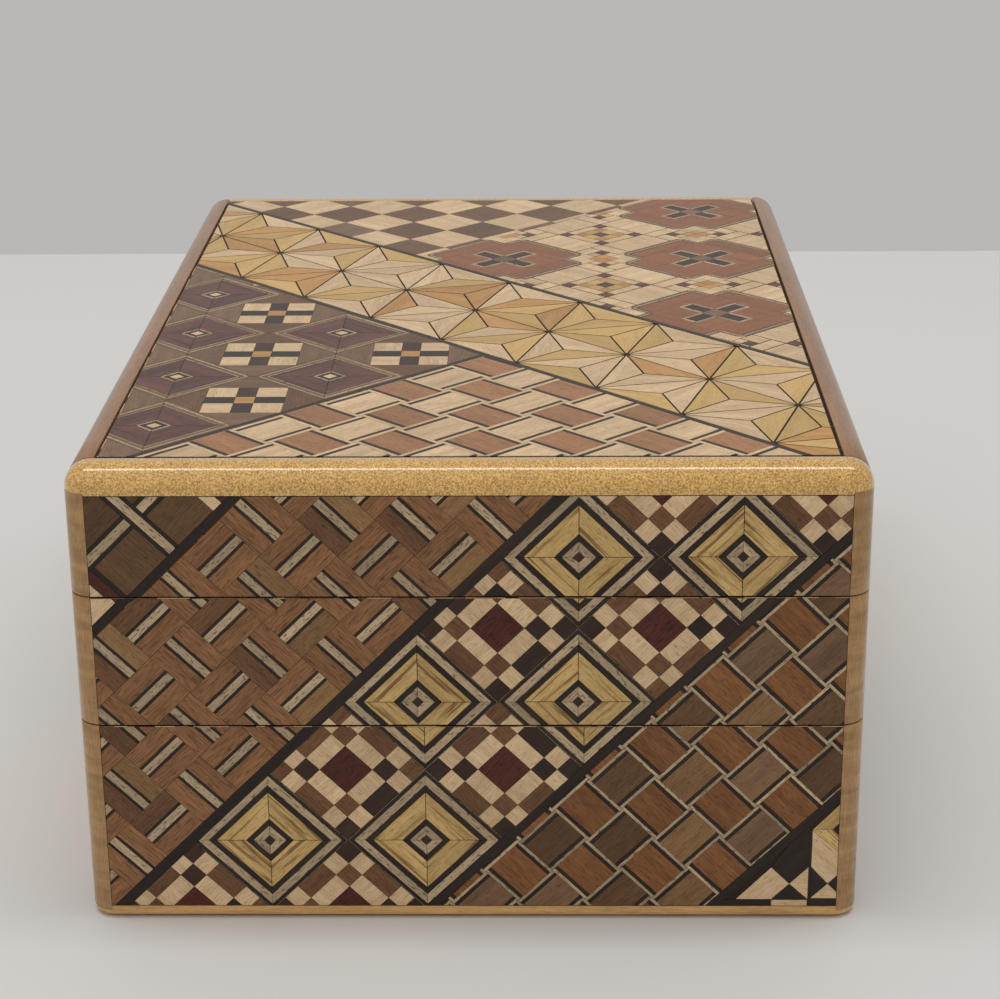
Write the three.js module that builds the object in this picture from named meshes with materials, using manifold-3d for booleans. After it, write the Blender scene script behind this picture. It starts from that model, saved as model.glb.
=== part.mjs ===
// Japanese sliding puzzle box with marquetry veneer, as an assembly of boards, battens, pegs and sheets.
// Millimetres, +Z up. X runs across the near end, Y runs from the near end (-Y) to the far end (+Y).
// The origin is the middle of the face that the box stands on.

import * as THREE from 'three';
import { mergeVertices } from 'three/addons/utils/BufferGeometryUtils.js';
import Module from 'manifold-3d';

const wasm = await Module();
wasm.setup();

// Overall size of the closed box.
const width = 105;
const length = 153;
const height = 65.5;

// Rounding of the outer edges.
const edgeRadius = 3.4;
const footRadius = 1.2;
const arcSteps = 6;

// Board thicknesses.
const endThickness = 4.4;
const panelThickness = 3.8;
const lidThickness = 4.2;
const wallThickness = 4;
const baseThickness = 4.4;
const floorThickness = 2;
const veneerThickness = 0.5;

// Clearances: between pieces that slide, between glued pieces, and under the sliding outer pieces.
const slideGap = 0.3;
const glueGap = 0.05;
const veneerGap = 0.1;
const footGap = 0.2;

// Heights of the two saw cuts that part the near end into three strips.
const lowerCut = 29.2;
const upperCut = 47.7;

// Plain wood left showing round a veneer sheet.
const sideMargin = 2.9;
const topMargin = 3.7;
const bottomMargin = 1.9;

// Dovetail battens that the sliding pieces run on.
const battenRoot = 4;
const battenFace = 6;
const battenDepth = 1.9;
const stripBattenLength = 80;
const panelBattenLength = 110;
const stripBattenHeights = { lower: 15, middle: 41, top: 57 };
const panelBattenHeights = { lower: 17, upper: 48 };

// Stop pegs and the travel that each one allows.
const pegLength = 6;
const pegHeight = 3;
const pegDrop = 7;
const stripTravel = 4;
const middleTravel = 5;
const panelTravel = 5;

// Lid runners: an upright leg under the lid, with a tongue that runs in a groove of the long wall.
const runnerWidth = 3.1;
const runnerHeight = 6;
const tongueWidth = 1.8;
const tongueHeight = 2;

// How far a cutter runs past the face that it cuts: clear of the board, or just through the face.
const cutterReach = 1;
const cutterSkin = 0.01;

// Corners closer together than this are one corner.
const weldDistance = 1e-5;

// Planes worked out from the driving dimensions.
const halfWidth = width / 2;
const halfLength = length / 2;
const endInner = halfLength - endThickness;
const wallEnd = endInner - slideGap;
const panelInner = halfWidth - panelThickness;
const wallOuter = panelInner - slideGap;
const wallInner = wallOuter - wallThickness;
const cavityEnd = wallEnd - wallThickness;
const lidUnderside = height - lidThickness;
const wallTop = lidUnderside - slideGap;
const wallFoot = baseThickness + glueGap;
const halfCut = slideGap / 2;
const runnerFoot = lidUnderside - glueGap - runnerHeight;
const runnerOuter = wallInner - slideGap;
const runnerInner = runnerOuter - runnerWidth;

function woodMaterial(color, roughness) {
  return new THREE.MeshStandardMaterial({ color, roughness, metalness: 0 });
}

const railWood = woodMaterial(0xb98a4a, 0.35);
const innerWood = woodMaterial(0xcfb083, 0.7);
const keyWood = woodMaterial(0x7a4a2c, 0.6);
const yosegiWood = woodMaterial(0x7c5a3c, 0.35);

// Turns a closed three.js geometry into a solid for cutting.
function toSolid(geometry) {
  const bare = geometry.index ? geometry.clone() : geometry;
  bare.deleteAttribute('normal');
  bare.deleteAttribute('uv');
  const merged = mergeVertices(bare, weldDistance);
  const vertProperties = new Float32Array(merged.attributes.position.array);
  const triVerts = new Uint32Array(merged.index.array);
  return new wasm.Manifold(new wasm.Mesh({ numProp: 3, vertProperties, triVerts }));
}

// Turns a cut solid back into a three.js geometry.
function toGeometry(solid) {
  const mesh = solid.getMesh();
  const geometry = new THREE.BufferGeometry();
  geometry.setAttribute('position', new THREE.BufferAttribute(mesh.vertProperties, 3));
  geometry.setIndex(new THREE.BufferAttribute(mesh.triVerts, 1));
  geometry.computeVertexNormals();
  return geometry;
}

// A box given by its limits along X, Y and Z.
function block([x0, x1], [y0, y1], [z0, z1]) {
  const geometry = new THREE.BoxGeometry(x1 - x0, y1 - y0, z1 - z0);
  geometry.translate((x0 + x1) / 2, (y0 + y1) / 2, (z0 + z1) / 2);
  return geometry;
}

function shapeOf(points) {
  return new THREE.Shape(points.map(([a, b]) => new THREE.Vector2(a, b)));
}

// A rectangle from (-half, bottom) to (half, top) with one radius for its upper and one for its lower corners.
function roundedRectangle(half, bottom, top, upperRadius, lowerRadius) {
  const shape = new THREE.Shape();
  shape.moveTo(-half, bottom + lowerRadius);
  shape.absarc(-half + lowerRadius, bottom + lowerRadius, lowerRadius, Math.PI, 1.5 * Math.PI, false);
  shape.absarc(half - lowerRadius, bottom + lowerRadius, lowerRadius, 1.5 * Math.PI, 2 * Math.PI, false);
  shape.absarc(half - upperRadius, top - upperRadius, upperRadius, 0, 0.5 * Math.PI, false);
  shape.absarc(-half + upperRadius, top - upperRadius, upperRadius, 0.5 * Math.PI, Math.PI, false);
  return shape;
}

// An outline drawn out straight to the given depth.
function drawnOut(shape, depth) {
  return new THREE.ExtrudeGeometry(shape, { depth, bevelEnabled: false, curveSegments: arcSteps });
}

// An outline in the XZ plane, drawn out along Y.
function alongY(shape, y0, y1) {
  const geometry = drawnOut(shape, y1 - y0);
  geometry.rotateX(Math.PI / 2);
  geometry.translate(0, y1, 0);
  return geometry;
}

// An outline in the YZ plane, drawn out along X.
function alongX(shape, x0, x1) {
  const geometry = drawnOut(shape, x1 - x0);
  geometry.rotateX(Math.PI / 2);
  geometry.rotateZ(Math.PI / 2);
  geometry.translate(x0, 0, 0);
  return geometry;
}

// An outline in the XY plane, drawn out along Z.
function alongZ(shape, z0, z1) {
  const geometry = drawnOut(shape, z1 - z0);
  geometry.translate(0, 0, z0);
  return geometry;
}

// The rounded outer form of the whole box, which every outer board is cut to.
function makeEnvelope() {
  const front = alongY(roundedRectangle(halfWidth, 0, height, edgeRadius, footRadius), -halfLength, halfLength);
  const side = alongX(roundedRectangle(halfLength, 0, height, edgeRadius, footRadius), -halfWidth, halfWidth);
  const planShape = roundedRectangle(halfWidth, -halfLength, halfLength, edgeRadius, edgeRadius);
  const plan = alongZ(planShape, 0, height);
  return toSolid(front).intersect(toSolid(side)).intersect(toSolid(plan));
}

const envelope = makeEnvelope();

// An outer board: a block cut to the rounded form, less the given cutters.
function outerBoard(blockGeometry, cutters) {
  let solid = toSolid(blockGeometry).intersect(envelope);
  for (const cutter of cutters) {
    solid = solid.subtract(toSolid(cutter));
  }
  return toGeometry(solid);
}

// A dovetail section: narrow where it is glued, wide at its face, centred on the given height.
function dovetail(start, depth, middle, grow) {
  const root = battenRoot / 2 + grow;
  const face = battenFace / 2 + grow;
  return shapeOf([
    [start, middle - root],
    [start + depth, middle - face],
    [start + depth, middle + face],
    [start, middle + root],
  ]);
}

const box = new THREE.Group();

function add(name, geometry, material) {
  const mesh = new THREE.Mesh(geometry, material);
  mesh.name = name;
  box.add(mesh);
  return mesh;
}

// ---- The fixed carcass ----

function makeBase() {
  const baseHalf = panelInner - slideGap;
  add('base_board', block([-baseHalf, baseHalf], [-wallEnd, wallEnd], [0, baseThickness]), innerWood);
  const floorHalf = wallInner - 2 * glueGap;
  const floorEnd = cavityEnd - glueGap;
  const floorTop = wallFoot + floorThickness;
  add('inner_floor', block([-floorHalf, floorHalf], [-floorEnd, floorEnd], [wallFoot, floorTop]), innerWood);
}

// A long wall with the groove for the lid's tongue and the slot for the side panel's stop peg.
function makeLongWall(name, side) {
  const grooveFoot = runnerFoot - slideGap;
  const grooveTop = runnerFoot + tongueHeight + slideGap;
  const grooveBack = runnerOuter + tongueWidth + slideGap;
  const section = shapeOf([
    [wallInner, wallFoot],
    [wallOuter, wallFoot],
    [wallOuter, wallTop],
    [wallInner, wallTop],
    [wallInner, grooveTop],
    [grooveBack, grooveTop],
    [grooveBack, grooveFoot],
    [wallInner, grooveFoot],
  ]);
  const slotStart = -pegLength / 2 - slideGap;
  const slotEnd = pegLength / 2 + panelTravel + slideGap;
  const slotHalf = pegHeight / 2 + slideGap;
  const middle = height / 2;
  const slot = block(
    [wallInner - cutterReach, wallOuter + cutterReach],
    [slotStart, slotEnd],
    [middle - slotHalf, middle + slotHalf],
  );
  let solid = toSolid(alongY(section, -wallEnd, wallEnd)).subtract(toSolid(slot));
  if (side < 0) {
    solid = solid.mirror([1, 0, 0]);
  }
  add(name, toGeometry(solid), innerWood);
}

// The near wall has one slot for the stop peg of each strip.
function makeNearWall() {
  const half = wallInner - glueGap;
  const wall = shapeOf([[-half, wallFoot], [half, wallFoot], [half, wallTop], [-half, wallTop]]);
  for (const strip of nearStrips) {
    const low = Math.min(0, strip.travel) - pegLength / 2 - slideGap;
    const high = Math.max(0, strip.travel) + pegLength / 2 + slideGap;
    const middle = strip.battenHeight - pegDrop;
    const reach = pegHeight / 2 + slideGap;
    wall.holes.push(shapeOf([
      [low, middle - reach],
      [low, middle + reach],
      [high, middle + reach],
      [high, middle - reach],
    ]));
  }
  add('inner_near_wall', alongY(wall, -wallEnd, -cavityEnd), innerWood);
}

// The far wall is notched at its upper corners, where the lid runners pass.
function makeFarWall() {
  const half = wallInner - glueGap;
  const notch = runnerInner - slideGap;
  const notchFoot = runnerFoot - slideGap;
  const wall = shapeOf([
    [-half, wallFoot],
    [half, wallFoot],
    [half, notchFoot],
    [notch, notchFoot],
    [notch, wallTop],
    [-notch, wallTop],
    [-notch, notchFoot],
    [-half, notchFoot],
  ]);
  add('inner_far_wall', alongY(wall, cavityEnd, wallEnd), innerWood);
}

// The far end board is fixed. It fills the space between the side panels, below the lid's end strip.
function makeFarEnd() {
  const half = panelInner - slideGap;
  const inner = wallEnd + glueGap;
  const top = upperCut - halfCut;
  const sheet = block(
    [-half - cutterReach, half + cutterReach],
    [halfLength - veneerThickness, halfLength + cutterReach],
    [bottomMargin, top + cutterReach],
  );
  const board = block([-half, half], [inner, halfLength], [0, top]);
  add('far_end_board', outerBoard(board, [sheet]), railWood);
  const veneerBack = halfLength - veneerThickness + glueGap;
  const veneer = block([-half, half], [veneerBack, halfLength], [bottomMargin + veneerGap, top]);
  add('far_end_veneer', veneer, yosegiWood);
}

// ---- The near end: three strips that slide sideways on dovetail battens ----

const nearStrips = [
  {
    name: 'near_lower',
    bottom: footGap,
    top: lowerCut - halfCut,
    battenHeight: stripBattenHeights.lower,
    travel: stripTravel,
  },
  {
    name: 'near_middle',
    bottom: lowerCut + halfCut,
    top: upperCut - halfCut,
    battenHeight: stripBattenHeights.middle,
    travel: -middleTravel,
  },
  {
    name: 'near_top',
    bottom: upperCut + halfCut,
    top: height,
    battenHeight: stripBattenHeights.top,
    travel: stripTravel,
  },
];

function makeNearStrip(strip) {
  const sheetHalf = halfWidth - sideMargin;
  const sheetBottom = Math.max(strip.bottom, bottomMargin);
  const sheetTop = Math.min(strip.top, height - topMargin);
  const cutBottom = sheetBottom > strip.bottom ? sheetBottom : strip.bottom - cutterReach;
  const cutTop = sheetTop < strip.top ? sheetTop : strip.top + cutterReach;
  const faceY = -halfLength;
  const sheet = block(
    [-sheetHalf, sheetHalf],
    [faceY - cutterReach, faceY + veneerThickness],
    [cutBottom, cutTop],
  );

  const battenHalf = stripBattenLength / 2;
  const grooveHalf = battenHalf + middleTravel + slideGap;
  const backY = -endInner;
  const grooveShape = dovetail(backY + cutterSkin, -(battenDepth + slideGap), strip.battenHeight, slideGap);
  const groove = alongX(grooveShape, -grooveHalf, grooveHalf);
  const board = block([-halfWidth, halfWidth], [faceY, backY], [strip.bottom, strip.top]);
  add(`${strip.name}_strip`, outerBoard(board, [sheet, groove]), railWood);

  const veneerHalf = sheetHalf - veneerGap;
  const veneerBottom = sheetBottom > strip.bottom ? sheetBottom + veneerGap : sheetBottom;
  const veneerTop = sheetTop < strip.top ? sheetTop - veneerGap : sheetTop;
  const veneerBack = faceY + veneerThickness - glueGap;
  const veneer = block([-veneerHalf, veneerHalf], [faceY, veneerBack], [veneerBottom, veneerTop]);
  add(`${strip.name}_veneer`, veneer, yosegiWood);

  const battenShape = dovetail(-wallEnd - glueGap, -battenDepth, strip.battenHeight, 0);
  add(`${strip.name}_batten`, alongX(battenShape, -battenHalf, battenHalf), keyWood);

  const pegMiddle = strip.battenHeight - pegDrop;
  const peg = block(
    [-pegLength / 2, pegLength / 2],
    [backY + glueGap, -cavityEnd - slideGap],
    [pegMiddle - pegHeight / 2, pegMiddle + pegHeight / 2],
  );
  add(`${strip.name}_peg`, peg, keyWood);
}

// ---- The side panels: each slides lengthwise on two dovetail battens ----

function makeSidePanel(name, side) {
  const outer = side * halfWidth;
  const inner = side * panelInner;
  const across = (a, b) => [Math.min(a, b), Math.max(a, b)];
  const sheetInner = side * (halfWidth - veneerThickness);
  const sheetEnd = halfLength - sideMargin;
  const sheetTop = height - topMargin;
  const sheetOuter = outer + side * cutterReach;
  const sheet = block(across(sheetInner, sheetOuter), [-halfLength, sheetEnd], [bottomMargin, sheetTop]);
  const battenHalf = panelBattenLength / 2;

  const cutters = [sheet];
  for (const [place, middle] of Object.entries(panelBattenHeights)) {
    const grooveShape = dovetail(panelInner - cutterSkin, battenDepth, middle, slideGap);
    const groove = alongY(grooveShape, -battenHalf - panelTravel - slideGap, battenHalf + slideGap);
    const battenShape = dovetail(wallOuter + glueGap, battenDepth, middle, 0);
    const batten = alongY(battenShape, -battenHalf, battenHalf);
    if (side < 0) {
      groove.rotateZ(Math.PI);
      groove.translate(0, -panelTravel, 0);
      batten.rotateZ(Math.PI);
    }
    cutters.push(groove);
    add(`${name}_${place}_batten`, batten, keyWood);
  }
  const board = block(across(inner, outer), [-wallEnd, halfLength], [footGap, height]);
  add(`${name}_panel`, outerBoard(board, cutters), railWood);

  const veneerInner = side * (halfWidth - veneerThickness + glueGap);
  const veneerRows = [bottomMargin + veneerGap, sheetTop - veneerGap];
  const veneer = block(across(veneerInner, outer), [-wallEnd, sheetEnd - veneerGap], veneerRows);
  add(`${name}_veneer`, veneer, yosegiWood);

  const middle = height / 2;
  const peg = block(
    across(side * (panelInner - glueGap), side * (wallInner + slideGap)),
    [-pegLength / 2, pegLength / 2],
    [middle - pegHeight / 2, middle + pegHeight / 2],
  );
  add(`${name}_peg`, peg, keyWood);
}

// ---- The lid: a veneered board on two runners, with the far end's top strip glued to it ----

function makeLid() {
  const half = panelInner - slideGap;
  const boardTop = height - veneerThickness;
  add('lid_board', block([-half, half], [-wallEnd, wallEnd], [lidUnderside, boardTop]), innerWood);
  add('lid_veneer', block([-half, half], [-wallEnd, wallEnd], [boardTop + glueGap, height]), yosegiWood);

  const stripInner = wallEnd + glueGap;
  const stripBottom = upperCut + halfCut;
  const sheetTop = height - topMargin;
  const sheet = block(
    [-half - cutterReach, half + cutterReach],
    [halfLength - veneerThickness, halfLength + cutterReach],
    [stripBottom - cutterReach, sheetTop],
  );
  const strip = block([-half, half], [stripInner, halfLength], [stripBottom, height]);
  add('lid_end_strip', outerBoard(strip, [sheet]), railWood);
  const veneerBack = halfLength - veneerThickness + glueGap;
  const veneer = block([-half, half], [veneerBack, halfLength], [stripBottom, sheetTop - veneerGap]);
  add('lid_end_veneer', veneer, yosegiWood);
}

function makeRunner(name, side) {
  const top = lidUnderside - glueGap;
  const section = shapeOf([
    [runnerInner, runnerFoot],
    [runnerOuter + tongueWidth, runnerFoot],
    [runnerOuter + tongueWidth, runnerFoot + tongueHeight],
    [runnerOuter, runnerFoot + tongueHeight],
    [runnerOuter, top],
    [runnerInner, top],
  ]);
  const runnerEnd = cavityEnd - slideGap;
  const runner = alongY(section, -runnerEnd, runnerEnd);
  if (side < 0) {
    runner.rotateZ(Math.PI);
  }
  add(name, runner, keyWood);
}

makeBase();
makeLongWall('inner_left_wall', -1);
makeLongWall('inner_right_wall', 1);
makeNearWall();
makeFarWall();
makeFarEnd();
for (const strip of nearStrips) {
  makeNearStrip(strip);
}
makeSidePanel('left', -1);
makeSidePanel('right', 1);
makeLid();
makeRunner('lid_left_runner', -1);
makeRunner('lid_right_runner', 1);

export default box;
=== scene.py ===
"""Sliding puzzle box: rounded solid-wood boards, and marquetry laid tile by tile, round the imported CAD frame.

Lengths are millimetres unless a name or comment says metres, and the meshes are built in metres. A marquetry
pattern is drawn on a flat sheet with complex numbers, x + iy, and is made of small pieces of wood.
"""

import cmath
import math
import random

import bmesh
import bpy
from mathutils import Matrix, Vector


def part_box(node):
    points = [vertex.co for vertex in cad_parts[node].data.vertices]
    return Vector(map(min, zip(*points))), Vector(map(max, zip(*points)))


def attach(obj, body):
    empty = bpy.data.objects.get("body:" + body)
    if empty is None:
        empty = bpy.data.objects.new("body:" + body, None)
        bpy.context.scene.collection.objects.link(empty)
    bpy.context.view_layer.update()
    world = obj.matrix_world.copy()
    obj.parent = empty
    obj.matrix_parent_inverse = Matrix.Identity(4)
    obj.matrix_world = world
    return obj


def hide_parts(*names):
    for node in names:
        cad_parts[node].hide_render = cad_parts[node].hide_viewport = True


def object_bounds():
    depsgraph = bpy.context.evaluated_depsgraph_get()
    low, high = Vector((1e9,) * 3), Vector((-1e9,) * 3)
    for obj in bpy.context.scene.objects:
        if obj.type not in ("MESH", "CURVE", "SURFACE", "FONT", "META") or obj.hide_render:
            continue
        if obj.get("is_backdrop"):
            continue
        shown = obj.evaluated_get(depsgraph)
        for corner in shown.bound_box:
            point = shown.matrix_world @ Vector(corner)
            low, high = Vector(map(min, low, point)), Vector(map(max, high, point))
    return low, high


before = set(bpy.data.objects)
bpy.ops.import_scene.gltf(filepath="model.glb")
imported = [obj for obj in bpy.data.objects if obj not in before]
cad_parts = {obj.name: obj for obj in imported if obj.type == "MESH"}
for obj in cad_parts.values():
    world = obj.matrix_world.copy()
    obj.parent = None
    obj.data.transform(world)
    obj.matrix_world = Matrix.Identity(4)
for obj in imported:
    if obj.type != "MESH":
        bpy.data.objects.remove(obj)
cad_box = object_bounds()

MM = 0.001
DIAGONAL = math.radians(45)

# The rounded outer form of the box, as in the CAD, and the grid that its boards are built on.
HALF_WIDTH = 52.5
HALF_LENGTH = 76.5
HEIGHT = 65.5
EDGE_RADIUS = 3.4
FOOT_RADIUS = 1.2
ARC_STEPS = 6
BOARD_GRID = 9.0
EASED_EDGE = 0.13

# The plain trim of the end boards: how far from the middle its sides begin, and its height at the foot.
TRIM_START = 49.55
# The foot band gets a lighter wood: painted light, where the rounded foot catches the light.
LIT_FOOT_HEIGHT = 2.5

# Recesses that the sheets lie in, and grooves for the battens, as in the CAD. Cutters reach past the wood.
RECESS_DEPTH = 0.5
RECESS_PLAY = 0.1
RECESS_FOOT = 1.9
RECESS_TOP = HEIGHT - 3.7
GROOVE_DEPTH = 2.2
CUTTER_REACH = 1.0

# Marquetry: thickness of a shaved tile, the glue line round it, and the sheet that it lies on.
TILE_DEPTH = 0.08
BED_DEPTH = 0.42
BED_GAP = 0.002
GLUE_LINE = 0.022
SMALLEST_TILE = 0.02
SHEET_EDGE = 0.04
GRAIN_SPREAD = 400.0
PATTERN_REACH = 110.0

# Wood that the saw took at each cut of an end, and how far the lowest strip's pattern sits to the right.
KERF = 0.67
LOWEST_STRIP_SHIFT = 0.8

# How far a strip reaches past its CAD edge into a saw cut, which leaves a finer line between the strips.
CUT_CLOSING = 0.06


# ---- Wood ----

def linear(red, green, blue):
    """A colour given as display values from 0 to 255, as the linear colour that a shader takes."""
    def channel(value):
        value /= 255
        return value / 12.92 if value <= 0.04045 else ((value + 0.055) / 1.055) ** 2.4
    return channel(red), channel(green), channel(blue), 1.0


class NodeGraph:
    """Short calls for building one material's nodes."""

    def __init__(self, name):
        self.material = bpy.data.materials.new(name)
        self.material.use_nodes = True
        self.tree = self.material.node_tree
        self.shader = self.tree.nodes["Principled BSDF"]

    def add(self, kind, settings=None, **inputs):
        node = self.tree.nodes.new(kind)
        for key, value in (settings or {}).items():
            setattr(node, key, value)
        for key, value in inputs.items():
            self.feed(node.inputs[key.replace("_", " ")], value)
        return node

    def feed(self, socket, value):
        if isinstance(value, bpy.types.NodeSocket):
            self.tree.links.new(value, socket)
        else:
            socket.default_value = value

    def maths(self, operation, *values, clamp=False):
        node = self.tree.nodes.new("ShaderNodeMath")
        node.operation = operation
        node.use_clamp = clamp
        for socket, value in zip(node.inputs, values):
            self.feed(socket, value)
        return node.outputs[0]

    def scaled(self, vector, factors):
        node = self.tree.nodes.new("ShaderNodeVectorMath")
        node.operation = "MULTIPLY"
        self.feed(node.inputs[0], vector)
        self.feed(node.inputs[1], factors)
        return node.outputs[0]

    def noise(self, vector, detail=2.0, roughness=0.5, distortion=0.0):
        node = self.add("ShaderNodeTexNoise", Vector=vector, Scale=1.0, Detail=detail, Roughness=roughness,
                        Distortion=distortion)
        return node.outputs["Fac"]

    def ramp(self, value, low, high, low_out=0.0, high_out=1.0):
        node = self.add("ShaderNodeMapRange", Value=value, From_Min=low, From_Max=high, To_Min=low_out,
                        To_Max=high_out)
        return node.outputs[0]

    def mix(self, factor, first, second):
        node = self.tree.nodes.new("ShaderNodeMix")
        node.data_type = "RGBA"
        self.feed(node.inputs["Factor"], factor)
        self.feed(node.inputs[6], first)
        self.feed(node.inputs[7], second)
        return node.outputs[2]


def tile_grain(graph):
    """Millimetres along and across a tile's grain, from the map that each tile carries."""
    node = graph.add("ShaderNodeUVMap", {"uv_map": "grain"})
    return node.outputs[0]


def board_grain(along):
    """Millimetres along and across the grain of a solid board, for grain along one axis of the box."""
    def coordinates(graph):
        place = graph.add("ShaderNodeTexCoord").outputs["Object"]
        parts = graph.add("ShaderNodeSeparateXYZ", Vector=graph.scaled(place, (1 / MM,) * 3)).outputs
        rest = [axis for axis in "XYZ" if axis != along]
        turned = {"X": parts[along], "Y": parts[rest[0]], "Z": parts[rest[1]]}
        return graph.add("ShaderNodeCombineXYZ", **turned).outputs[0]
    return coordinates


def wood(name, light, dark, coordinates=tile_grain, *, figure=0.5, figure_size=(0.05, 0.5), streak=0.0,
         streak_colour=None, pores=0.3, pore_size=(0.9, 6.0), fibre_size=(0.35, 6.0), tone=0.18,
         roughness=0.3, bump=0.1, coat=0.0):
    """Lacquered wood with a soft figure, fine fibres, optional dark streaks, and pores along the grain.

    light and dark are the linear colours that the figure moves between. Sizes are frequencies per millimetre,
    along and across the grain.
    """
    light, dark = (*light, 1.0), (*dark, 1.0)
    graph = NodeGraph(name)
    grain = coordinates(graph)
    along, across = figure_size
    figure_noise = graph.noise(graph.scaled(grain, (along, across, across)), 3.0, 0.55, 0.3)
    fibre_noise = graph.noise(graph.scaled(grain, (*fibre_size, fibre_size[1])), 2.0, 0.6)
    figure_part = graph.maths("MULTIPLY", graph.ramp(figure_noise, 0.35, 0.65), figure)
    fibre_part = graph.maths("MULTIPLY", graph.ramp(fibre_noise, 0.38, 0.62), 1.0 - figure)
    colour = graph.mix(graph.maths("ADD", figure_part, fibre_part, clamp=True), dark, light)
    if streak > 0:
        streak_noise = graph.noise(graph.scaled(grain, (0.07, 1.5, 1.5)), 2.5, 0.6, 0.4)
        mask = graph.ramp(streak_noise, 0.53, 0.64)
        colour = graph.mix(graph.maths("MULTIPLY", mask, streak), colour, (*streak_colour, 1.0))
    pore_noise = graph.noise(graph.scaled(grain, (*pore_size, pore_size[1])), 1.0, 0.5)
    pore_mask = graph.ramp(pore_noise, 0.58, 0.67)
    pore_colour = (*(channel * 0.35 for channel in dark[:3]), 1.0)
    colour = graph.mix(graph.maths("MULTIPLY", pore_mask, pores), colour, pore_colour)
    if coordinates is tile_grain:
        shade = graph.add("ShaderNodeAttribute", {"attribute_name": "tone"}).outputs["Fac"]
    else:
        shade = graph.noise(graph.scaled(grain, (0.02, 0.12, 0.12)), 2.0)
    value = graph.ramp(shade, 0.0, 1.0, 1.0 - tone, 1.0 + tone)
    colour = graph.add("ShaderNodeHueSaturation", Saturation=1.0, Value=value, Color=colour).outputs[0]
    graph.feed(graph.shader.inputs["Base Color"], colour)
    graph.feed(graph.shader.inputs["Specular IOR Level"], 0.25)
    graph.feed(graph.shader.inputs["Coat Weight"], coat)
    graph.feed(graph.shader.inputs["Coat Roughness"], 0.1)
    gloss = graph.ramp(fibre_noise, 0.2, 0.8, roughness - 0.05, roughness + 0.07)
    graph.feed(graph.shader.inputs["Roughness"], gloss)
    relief = graph.maths("SUBTRACT", graph.maths("MULTIPLY", fibre_noise, 0.5), pore_mask)
    node = graph.add("ShaderNodeBump", Strength=bump, Distance=0.03 * MM, Height=relief)
    graph.feed(graph.shader.inputs["Normal"], node.outputs[0])
    return graph.material


def make_tile_woods():
    """The woods of the marquetry, by the names that the patterns use."""
    ink = (0.018, 0.011, 0.008)
    rust = (0.15, 0.06, 0.016)
    woods = {
        "cream": wood("wood_cream", (0.86, 0.625, 0.37), (0.56, 0.37, 0.20), pores=0.4, tone=0.1),
        "ash": wood("wood_ash", (0.62, 0.46, 0.28), (0.33, 0.235, 0.14), pores=0.85, pore_size=(1.1, 4.0)),
        "yellow": wood("wood_yellow", (0.76, 0.52, 0.21), (0.47, 0.295, 0.10), pores=0.5, streak=0.8,
                       streak_colour=rust, tone=0.1),
        "brown": wood("wood_brown", (0.37, 0.175, 0.075), (0.165, 0.072, 0.029), figure=0.3, pores=0.6,
                      pore_size=(0.6, 5.0), tone=0.1),
        "walnut": wood("wood_walnut", (0.23, 0.108, 0.045), (0.105, 0.047, 0.02), figure=0.35, pores=0.6,
                       tone=0.14),
        "olive": wood("wood_olive", (0.17, 0.087, 0.036), (0.09, 0.044, 0.018), figure=0.4, pores=0.5),
        "tan": wood("wood_tan", (0.34, 0.188, 0.078), (0.2, 0.105, 0.042), figure=0.4, pores=0.5),
        "chestnut": wood("wood_chestnut", (0.315, 0.13, 0.043), (0.14, 0.054, 0.018), figure=0.4, pores=0.5,
                         tone=0.14),
        "wine": wood("wood_wine", (0.135, 0.027, 0.016), (0.05, 0.012, 0.008), pores=0.8, figure=0.3),
        "plum": wood("wood_plum", (0.19, 0.07, 0.05), (0.078, 0.028, 0.022), pores=0.6, streak=0.6,
                     streak_colour=ink),
        "umber": wood("wood_umber", (0.06, 0.027, 0.015), (0.028, 0.013, 0.008), pores=0.5),
        "black": wood("wood_black", (0.036, 0.021, 0.014), (0.018, 0.011, 0.008), pores=0.4),
        "rose": wood("wood_rose", (0.49, 0.235, 0.105), (0.29, 0.128, 0.053), figure=0.4, pores=0.5,
                     tone=0.12),
        "taupe": wood("wood_taupe", (0.26, 0.145, 0.073), (0.14, 0.076, 0.039), pores=0.45),
        "orange": wood("wood_orange", (0.66, 0.36, 0.12), (0.44, 0.21, 0.062), pores=0.3, tone=0.12),
        "straw": wood("wood_straw", (0.72, 0.475, 0.175), (0.54, 0.33, 0.105), pores=0.3, tone=0.12),
        "brick": wood("wood_brick", (0.37, 0.14, 0.055), (0.22, 0.08, 0.032), pores=0.5, tone=0.08),
        "raw": wood("wood_raw", (0.66, 0.42, 0.22), (0.50, 0.30, 0.15), pores=0.2, roughness=0.6),
        "glue": wood("glue_bed", (0.030, 0.018, 0.012), (0.018, 0.011, 0.008), pores=0.0, roughness=0.6),
    }
    return woods


# ---- Flat geometry of the patterns ----

def rectangle(x0, x1, y0, y1):
    return [complex(x0, y0), complex(x1, y0), complex(x1, y1), complex(x0, y1)]


def area(points):
    total = 0.0
    for here, there in zip(points, points[1:] + points[:1]):
        total += here.real * there.imag - there.real * here.imag
    return total / 2


def clip(points, normal, limit):
    """The part of a convex outline where the distance along a unit normal is at most the limit."""
    kept = []
    for here, there in zip(points, points[1:] + points[:1]):
        a = (here * normal.conjugate()).real - limit
        b = (there * normal.conjugate()).real - limit
        if a <= 0:
            kept.append(here)
        if (a < 0 < b) or (b < 0 < a):
            kept.append(here + (there - here) * (a / (a - b)))
    return kept


def clip_all(points, fences):
    for normal, limit in fences:
        if len(points) < 3:
            return []
        points = clip(points, normal, limit)
    return points if len(points) >= 3 else []


def shrunk(points, gap):
    """A convex outline moved in by the gap on every side."""
    fences = []
    for here, there in zip(points, points[1:] + points[:1]):
        side = there - here
        if abs(side) > 1e-6:
            normal = -1j * side / abs(side)
            fences.append((normal, (here * normal.conjugate()).real - gap))
    return clip_all(points, fences)


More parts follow.
